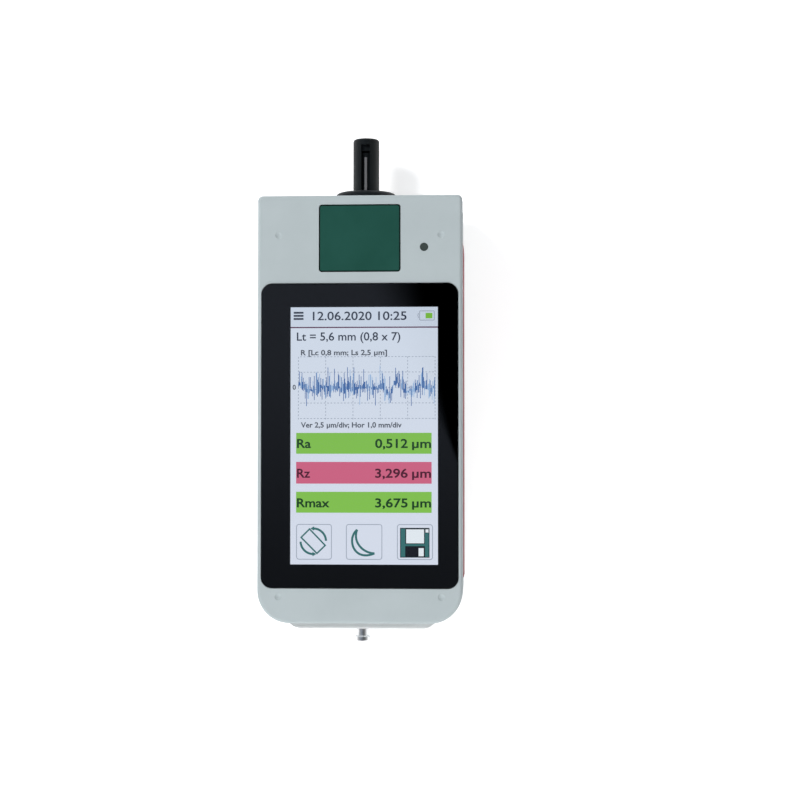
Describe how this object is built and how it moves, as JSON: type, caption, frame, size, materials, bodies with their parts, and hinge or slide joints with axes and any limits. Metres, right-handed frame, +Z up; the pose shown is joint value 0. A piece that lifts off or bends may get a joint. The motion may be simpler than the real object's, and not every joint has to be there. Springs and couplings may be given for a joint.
{
  "type": "surface roughness tester",
  "caption": "Handheld surface roughness tester with touch display, start key, motor-driven skidded stylus pick-up in a slotted guard, and a pull-out tray for its roughness standard.",
  "frame": {"origin": "on the surface that the rails stand on, under the middle of the overall length and width", "axes": "+X across the display to the right, +Y along the length towards the pick-up, +Z up out of the display"},
  "size_m": [0.0756, 0.1916, 0.05],
  "materials": {
    "shell_plastic": "fine moulded texture, light grey",
    "band_plastic": "soft satin, dark rose red",
    "rail_rubber": "matt black",
    "touch_glass": "polished, black behind the border",
    "gasket_foam": "foam",
    "display_panel": "lit colour display",
    "circuit_board": "solder mask",
    "steel": "fine turned and ground",
    "key_plastic": "satin, dark green",
    "black_plastic": "matt black",
    "lens_plastic": "smoked clear",
    "brass": "turned",
    "sleeve_aluminium": "turned and anodised",
    "black_metal": "black anodised, satin",
    "skid_ruby": "polished ruby",
    "tray_plastic": "fine moulded texture, pale grey",
    "chrome": "polished",
    "standard_steel": "evenly ground across its length",
    "cell_wrap": "shrink wrap"
  },
  "bodies": {
    "housing": {"front_shell": "shell_plastic", "base_shell": "shell_plastic", "side_band_right": "band_plastic", "side_band_left": "band_plastic", "glide_rail_right": "rail_rubber", "glide_rail_left": "rail_rubber", "touch_glass": "touch_glass", "display_gasket": "gasket_foam", "display_panel": "display_panel", "main_board": "circuit_board", "board_screws": "steel", "key_switch": "black_plastic", "status_lens": "lens_plastic", "housing_screws": "steel", "stand_inserts": "brass", "drive_sleeve": "sleeve_aluminium", "drive_nose": "black_metal", "drive_end_cap": "black_plastic", "gear_motor": "steel", "drive_bulkhead": "sleeve_aluminium", "screw_bush": "brass", "guide_rods": "steel", "pickup_guard": "black_metal", "tray_guide": "tray_plastic", "battery_cell": "cell_wrap", "interface_board": "circuit_board", "usb_socket": "steel", "card_socket": "steel", "data_socket": "black_plastic"},
    "key": {"start_key": "key_plastic", "switch_plunger": "black_plastic"},
    "pickup": {"carriage": "black_plastic", "pickup_socket": "black_metal", "pickup_body": "black_metal", "pickup_spine": "steel", "skid": "skid_ruby", "pivot_pin": "steel"},
    "screw": {"motor_shaft": "steel", "shaft_coupling": "brass", "lead_screw": "steel"},
    "stylus": {"stylus_lever": "steel", "stylus_tip": "steel"},
    "tray": {"standard_tray": "tray_plastic", "tray_knob": "chrome", "roughness_standard": "standard_steel"}
  },
  "joints": [
    {"name": "start_key_press", "type": "slide", "parent": "housing", "child": "key", "axis": [0, 0, -1], "range_m": [0, 0.0008], "stiffness_N_per_m": 1200},
    {"name": "pickup_traverse", "type": "slide", "parent": "housing", "child": "pickup", "axis": [0, -1, 0], "range_m": [0, 0.0175]},
    {"name": "lead_screw_turn", "type": "hinge", "parent": "housing", "child": "screw", "pos_m": [0, 0, 0.0162], "axis": [0, 1, 0], "range_deg": [0, 3151]},
    {"name": "stylus_swing", "type": "hinge", "parent": "pickup", "child": "stylus", "pos_m": [0, 0.071, 0.014], "axis": [1, 0, 0], "range_deg": [0, 2.5]},
    {"name": "tray_pull", "type": "slide", "parent": "housing", "child": "tray", "axis": [0, -1, 0], "range_m": [0, 0.05]}
  ],
  "couplings": [
    {"joint": "lead_screw_turn", "follows": "pickup_traverse", "rad_per_m": 3141.6}
  ]
}
